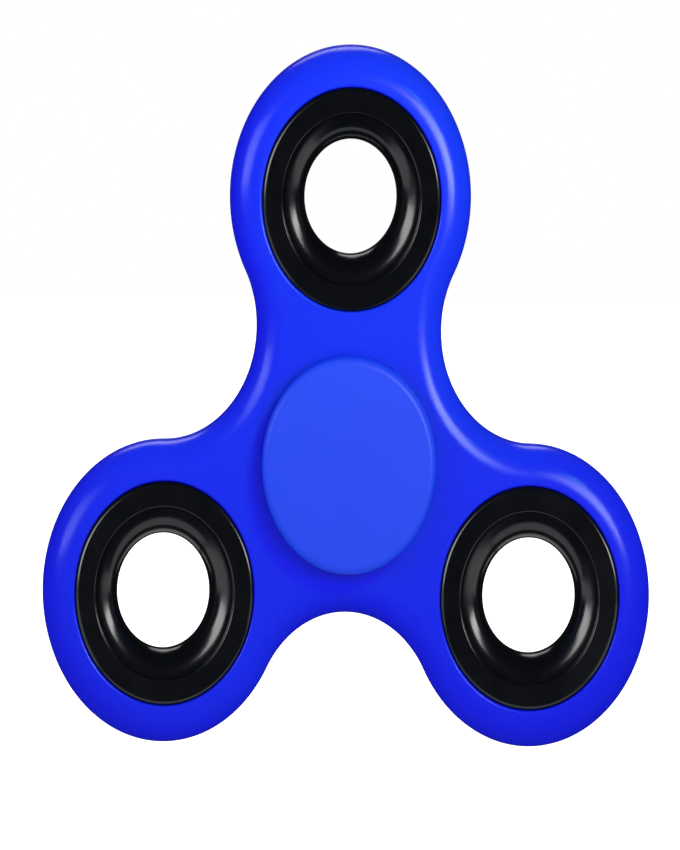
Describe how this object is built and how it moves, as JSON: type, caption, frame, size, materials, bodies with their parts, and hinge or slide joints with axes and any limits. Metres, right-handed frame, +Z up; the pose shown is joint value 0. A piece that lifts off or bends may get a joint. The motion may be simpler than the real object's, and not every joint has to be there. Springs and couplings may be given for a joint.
{
  "type": "fidget spinner",
  "caption": "Hand spinner: a lobed plastic rotor with a steel weight ring in each lobe, turning on a ball bearing between two flat finger caps.",
  "frame": {"origin": "centre of the ball bearing: on the spin axis, half-way between the two finger caps", "axes": "+Y along the spin axis, from the front cap to the back cap; +Z up through the top lobe; +X to the right, seen from the front"},
  "size_m": [0.0744, 0.0128, 0.0684],
  "materials": {
    "body_plastic": "blue moulded ABS, glossy",
    "cap_plastic": "blue moulded ABS, satin",
    "black_coated_steel": "black coating, satin gloss",
    "bearing_steel": "ground steel",
    "pressed_steel": "pressed sheet steel, bright",
    "spring_wire": "drawn spring steel wire",
    "polished_ball_steel": "polished steel"
  },
  "bodies": {
    "hub": {"cap_front": "cap_plastic", "cap_back": "cap_plastic", "bearing_inner_race": "bearing_steel"},
    "rotor": {"spinner_body": "body_plastic", "weight_ring_top": "black_coated_steel", "weight_ring_left": "black_coated_steel", "weight_ring_right": "black_coated_steel", "bearing_outer_race": "bearing_steel", "shield_front": "pressed_steel", "shield_back": "pressed_steel", "snap_ring_front": "spring_wire", "snap_ring_back": "spring_wire"},
    "cage": {"cage_front": "pressed_steel", "cage_back": "pressed_steel", "cage_rivets": "pressed_steel"},
    "ball_1": {"ball_1": "polished_ball_steel"},
    "ball_2": {"ball_2": "polished_ball_steel"},
    "ball_3": {"ball_3": "polished_ball_steel"},
    "ball_4": {"ball_4": "polished_ball_steel"},
    "ball_5": {"ball_5": "polished_ball_steel"},
    "ball_6": {"ball_6": "polished_ball_steel"},
    "ball_7": {"ball_7": "polished_ball_steel"}
  },
  "joints": [
    {"name": "rotor_spin", "type": "hinge", "parent": "hub", "child": "rotor", "pos_m": [0, 0, 0], "axis": [0, 1, 0], "continuous": true},
    {"name": "cage_orbit", "type": "hinge", "parent": "hub", "child": "cage", "pos_m": [0, 0, 0], "axis": [0, 1, 0], "continuous": true},
    {"name": "ball_1_roll", "type": "hinge", "parent": "cage", "child": "ball_1", "pos_m": [0, 0, 0.0075], "axis": [0, 1, 0], "continuous": true},
    {"name": "ball_2_roll", "type": "hinge", "parent": "cage", "child": "ball_2", "pos_m": [-0.00586, 0, 0.00468], "axis": [0, 1, 0], "continuous": true},
    {"name": "ball_3_roll", "type": "hinge", "parent": "cage", "child": "ball_3", "pos_m": [-0.00731, 0, -0.00167], "axis": [0, 1, 0], "continuous": true},
    {"name": "ball_4_roll", "type": "hinge", "parent": "cage", "child": "ball_4", "pos_m": [-0.00325, 0, -0.00676], "axis": [0, 1, 0], "continuous": true},
    {"name": "ball_5_roll", "type": "hinge", "parent": "cage", "child": "ball_5", "pos_m": [0.00325, 0, -0.00676], "axis": [0, 1, 0], "continuous": true},
    {"name": "ball_6_roll", "type": "hinge", "parent": "cage", "child": "ball_6", "pos_m": [0.00731, 0, -0.00167], "axis": [0, 1, 0], "continuous": true},
    {"name": "ball_7_roll", "type": "hinge", "parent": "cage", "child": "ball_7", "pos_m": [0.00586, 0, 0.00468], "axis": [0, 1, 0], "continuous": true}
  ],
  "couplings": [
    {"joint": "cage_orbit", "follows": "rotor_spin", "ratio": 0.6323},
    {"joint": "ball_1_roll", "follows": "rotor_spin", "ratio": 1.7573},
    {"joint": "ball_2_roll", "follows": "rotor_spin", "ratio": 1.7573},
    {"joint": "ball_3_roll", "follows": "rotor_spin", "ratio": 1.7573},
    {"joint": "ball_4_roll", "follows": "rotor_spin", "ratio": 1.7573},
    {"joint": "ball_5_roll", "follows": "rotor_spin", "ratio": 1.7573},
    {"joint": "ball_6_roll", "follows": "rotor_spin", "ratio": 1.7573},
    {"joint": "ball_7_roll", "follows": "rotor_spin", "ratio": 1.7573}
  ]
}
